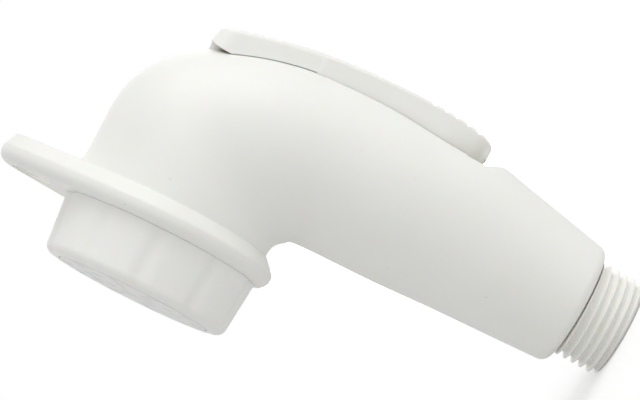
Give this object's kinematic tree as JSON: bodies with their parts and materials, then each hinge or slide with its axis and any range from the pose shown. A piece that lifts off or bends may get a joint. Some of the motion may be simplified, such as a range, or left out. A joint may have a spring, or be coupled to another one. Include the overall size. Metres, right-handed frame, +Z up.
{
  "type": "lever hand shower",
  "caption": "White plastic lever hand shower: elbow body with a hanging tab, fluted spray ring, rocking thumb lever over a stop valve, and a half inch inlet thread.",
  "frame": {"origin": "Centre of the inlet thread's end face.", "axes": "+Z runs up the handle from the inlet thread to the head, the spray leaves towards -X (tilted 2.6 degrees down), the lever is on the +X side, and the part is symmetric about Y = 0."},
  "size_m": [0.0635, 0.048, 0.1271],
  "materials": {
    "white_abs": "Smooth moulded white plastic with a soft satin gloss.",
    "white_nipple": "Moulded white plastic with a satin thread.",
    "face_plastic": "Fine matt moulded plastic.",
    "inner_plastic": "Plain natural acetal.",
    "seal_rubber": "Black seal rubber.",
    "valve_brass": "Turned brass.",
    "spring_steel": "Drawn stainless steel."
  },
  "bodies": {
    "body": {"handle_body": "white_abs", "lever_pin": "spring_steel", "spray_collar": "white_abs", "spray_face": "face_plastic", "face_gasket": "seal_rubber", "flow_spreader": "inner_plastic", "inlet_nipple": "white_nipple", "nipple_o_ring": "seal_rubber", "inlet_filter": "inner_plastic", "check_cage": "inner_plastic", "check_spring": "spring_steel", "check_o_ring": "seal_rubber", "cage_clip": "spring_steel", "valve_barrel": "inner_plastic", "barrel_o_rings": "seal_rubber", "barrel_plug": "inner_plastic", "stem_o_ring": "seal_rubber", "gland_nut": "valve_brass", "valve_spring": "spring_steel"},
    "lever": {"lever": "white_abs"},
    "spindle": {"valve_stem": "valve_brass", "stem_cap": "inner_plastic", "valve_washer": "seal_rubber", "washer_holder": "valve_brass", "washer_nut": "valve_brass"},
    "poppet": {"check_poppet": "inner_plastic", "check_seal": "seal_rubber"}
  },
  "joints": [
    {"name": "lever_rock", "type": "hinge", "parent": "body", "child": "lever", "pos_m": [0.014, 0, 0.076], "axis": [0, 1, 0], "range_deg": [0, 2], "stiffness_Nm_per_rad": 2, "springref_deg": -3.44},
    {"name": "stem_slide", "type": "slide", "parent": "body", "child": "spindle", "axis": [-1, 0, 0], "range_m": [0, 0.00085], "deforming": ["valve_spring"]},
    {"name": "check_lift", "type": "slide", "parent": "body", "child": "poppet", "axis": [0, 0, 1], "range_m": [0, 0.0025], "stiffness_N_per_m": 30, "springref_m": -0.003, "deforming": ["check_spring"]}
  ],
  "couplings": [
    {"joint": "stem_slide", "follows": "lever_rock", "m_per_rad": 0.023}
  ]
}
